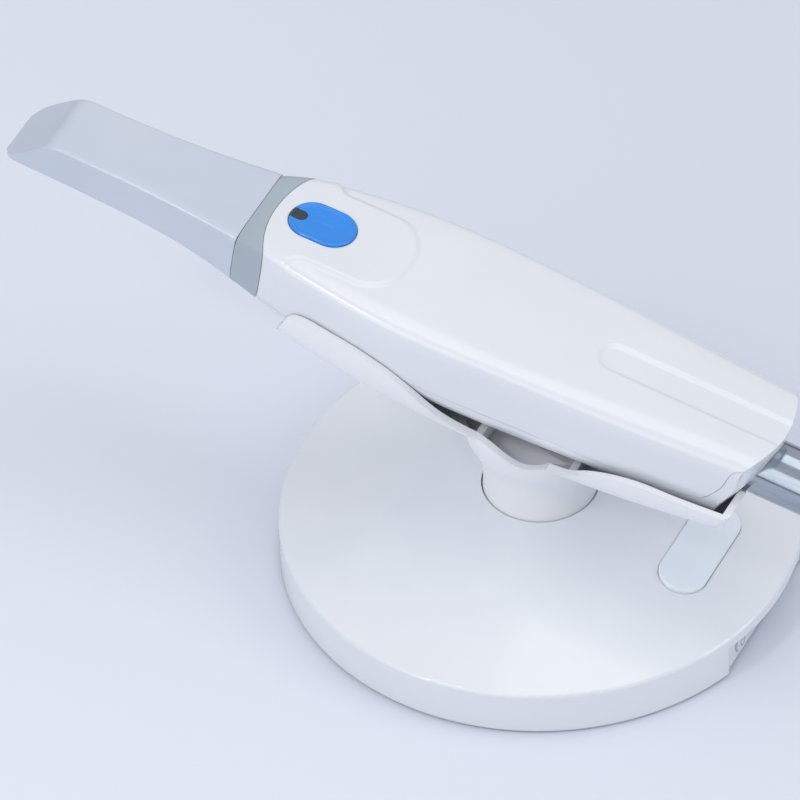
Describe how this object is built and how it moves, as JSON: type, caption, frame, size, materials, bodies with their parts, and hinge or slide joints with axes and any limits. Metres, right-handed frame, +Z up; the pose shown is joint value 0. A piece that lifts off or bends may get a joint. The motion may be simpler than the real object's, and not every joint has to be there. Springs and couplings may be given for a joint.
{
  "type": "intraoral scanner",
  "caption": "Intraoral scanner handpiece with a pull-off scanning tip and press button, lying in the cradle of its round base station.",
  "frame": {"origin": "centre of the base station's underside, on the table", "axes": "+Z up, +X to the rear, where the cable sleeve leaves the handpiece, and the scanning tip towards -X; the middle plane is Y = 0"},
  "size_m": [0.2476, 0.14, 0.101],
  "materials": {
    "white_plastic": "glossy white moulding",
    "tip_plastic": "light grey-blue moulding",
    "collar_plastic": "mid grey moulding",
    "button_plastic": "blue, smooth",
    "dark_window": "dark, light-passing",
    "mirror_coat": "front-coated mirror",
    "clear_glass": "clear",
    "badge_clear": "clear pale blue dome",
    "frame_metal": "machined",
    "module_black": "black housing",
    "board_green": "circuit board",
    "switch_black": "black switch body",
    "screw_steel": "zinc plated",
    "sleeve_chrome": "polished",
    "black_rubber": "soft black rubber",
    "plate_plastic": "grey base plate",
    "weight_iron": "plain casting",
    "button_grey": "pale grey button"
  },
  "bodies": {
    "station": {"front_ring": "collar_plastic", "nose_tube": "module_black", "lens_window": "clear_glass", "top_housing": "white_plastic", "bottom_housing": "white_plastic", "scan_switch": "switch_black", "optics_frame": "frame_metal", "camera_module": "module_black", "projector_module": "module_black", "main_board": "board_green", "heat_sink": "frame_metal", "housing_screws": "screw_steel", "cable_sleeve": "sleeve_chrome", "sleeve_nut": "screw_steel", "inlet_bush": "black_rubber", "cradle": "white_plastic", "base_cover": "white_plastic", "badge_plate": "badge_clear", "base_plate": "plate_plastic", "ballast_weight": "weight_iron", "foot_pad": "black_rubber", "base_screws": "screw_steel", "column_screws": "screw_steel", "power_switch": "switch_black", "base_board": "board_green", "power_socket": "switch_black", "data_socket": "screw_steel"},
    "tip": {"tip_shell": "tip_plastic", "tip_mirror": "mirror_coat"},
    "scan_key": {"scan_button": "button_plastic", "button_light": "dark_window"},
    "power_key": {"power_button": "button_grey"}
  },
  "joints": [
    {"name": "tip_slide", "type": "slide", "parent": "station", "child": "tip", "axis": [-0.9866, 0, 0.1633], "range_m": [0, 0.05]},
    {"name": "scan_button_press", "type": "slide", "parent": "station", "child": "scan_key", "axis": [-0.1633, 0, -0.9866], "range_m": [0, 0.0007], "stiffness_N_per_m": 1500},
    {"name": "power_button_press", "type": "slide", "parent": "station", "child": "power_key", "axis": [-1, 0, 0], "range_m": [0, 0.0008], "stiffness_N_per_m": 1500}
  ]
}
